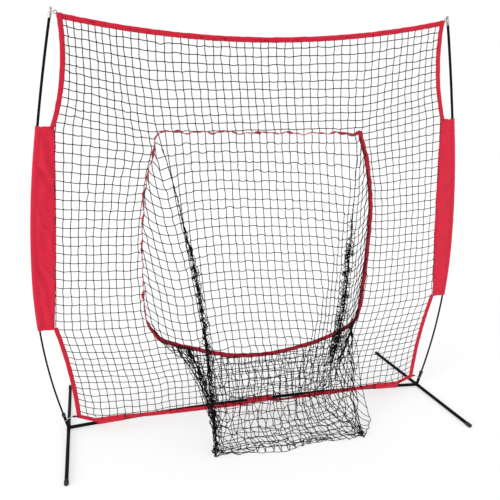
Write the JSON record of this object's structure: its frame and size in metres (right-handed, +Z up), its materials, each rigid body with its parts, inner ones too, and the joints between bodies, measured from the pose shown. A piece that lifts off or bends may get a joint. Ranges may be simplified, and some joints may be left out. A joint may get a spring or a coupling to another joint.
{
  "type": "ball practice net",
  "caption": "Free-standing bow-frame practice net with red side sleeves, a square-mesh net with a strike-zone opening and a catching pocket.",
  "frame": {"origin": "on the floor, under the middle of the base bar", "axes": "+X along the base bar, -Y toward the side the pocket hangs on, +Z up"},
  "size_m": [2.3804, 0.94, 2.1212],
  "materials": {
    "black_steel": "semi-gloss black powder coat on 19 mm steel tube",
    "bare_steel": "bare drawn steel tube inside the bar joints",
    "rubber_caps": "matt black moulded rubber",
    "plastic_collars": "matt black moulded plastic",
    "fibreglass_pole": "black fibreglass rod with a smooth resin surface",
    "dark_metal_ferrule": "dark coated metal sleeve",
    "bright_tip": "bright turned metal",
    "hook_wire": "bright plated wire",
    "black_elastic": "black woven elastic webbing",
    "white_cord": "white braided cord",
    "black_ring": "black moulded ring",
    "dark_red_ribbon": "dark red woven ribbon",
    "red_fabric": "bright red woven polyester with stitched edges",
    "black_netting": "black knotted square-mesh netting, open between its cords"
  },
  "bodies": {
    "net_frame": {"bottom_hem": "red_fabric", "centre_bar_tab": "red_fabric", "left_bar_joint_spigot": "bare_steel", "left_bar_section": "black_steel", "left_bar_tab": "red_fabric", "left_corner_hook": "hook_wire", "left_corner_strap": "black_elastic", "left_hub": "black_steel", "left_lower_pole": "fibreglass_pole", "left_lower_side_trim": "red_fabric", "left_pole_ferrule": "dark_metal_ferrule", "left_pole_tip": "bright_tip", "left_side_sleeve": "red_fabric", "left_socket_collar": "plastic_collars", "left_top_cord": "white_cord", "left_top_corner_ring": "black_ring", "left_upper_pole": "fibreglass_pole", "left_upper_side_trim": "red_fabric", "main_net": "black_netting", "middle_bar_section": "black_steel", "opening_ribbon": "dark_red_ribbon", "pocket_bottom": "black_netting", "pocket_front": "black_netting", "pocket_left_side": "black_netting", "pocket_right_side": "black_netting", "right_bar_joint_spigot": "bare_steel", "right_bar_section": "black_steel", "right_bar_tab": "red_fabric", "right_corner_hook": "hook_wire", "right_corner_strap": "black_elastic", "right_hub": "black_steel", "right_lower_pole": "fibreglass_pole", "right_lower_side_trim": "red_fabric", "right_pole_ferrule": "dark_metal_ferrule", "right_pole_tip": "bright_tip", "right_side_sleeve": "red_fabric", "right_socket_collar": "plastic_collars", "right_top_cord": "white_cord", "right_top_corner_ring": "black_ring", "right_upper_pole": "fibreglass_pole", "right_upper_side_trim": "red_fabric", "top_trim": "red_fabric"},
    "left_front_foot": {"left_front_leg": "black_steel", "left_front_foot_cap": "rubber_caps"},
    "left_rear_foot": {"left_rear_leg": "black_steel", "left_rear_foot_cap": "rubber_caps"},
    "right_front_foot": {"right_front_leg": "black_steel", "right_front_foot_cap": "rubber_caps"},
    "right_rear_foot": {"right_rear_leg": "black_steel", "right_rear_foot_cap": "rubber_caps"}
  },
  "joints": [
    {"name": "left_front_leg_pull", "type": "slide", "parent": "net_frame", "child": "left_front_foot", "axis": [0, -1, 0], "range_m": [0, 0.055]},
    {"name": "left_rear_leg_pull", "type": "slide", "parent": "net_frame", "child": "left_rear_foot", "axis": [0, 1, 0], "range_m": [0, 0.055]},
    {"name": "right_front_leg_pull", "type": "slide", "parent": "net_frame", "child": "right_front_foot", "axis": [0, -1, 0], "range_m": [0, 0.055]},
    {"name": "right_rear_leg_pull", "type": "slide", "parent": "net_frame", "child": "right_rear_foot", "axis": [0, 1, 0], "range_m": [0, 0.055]}
  ]
}
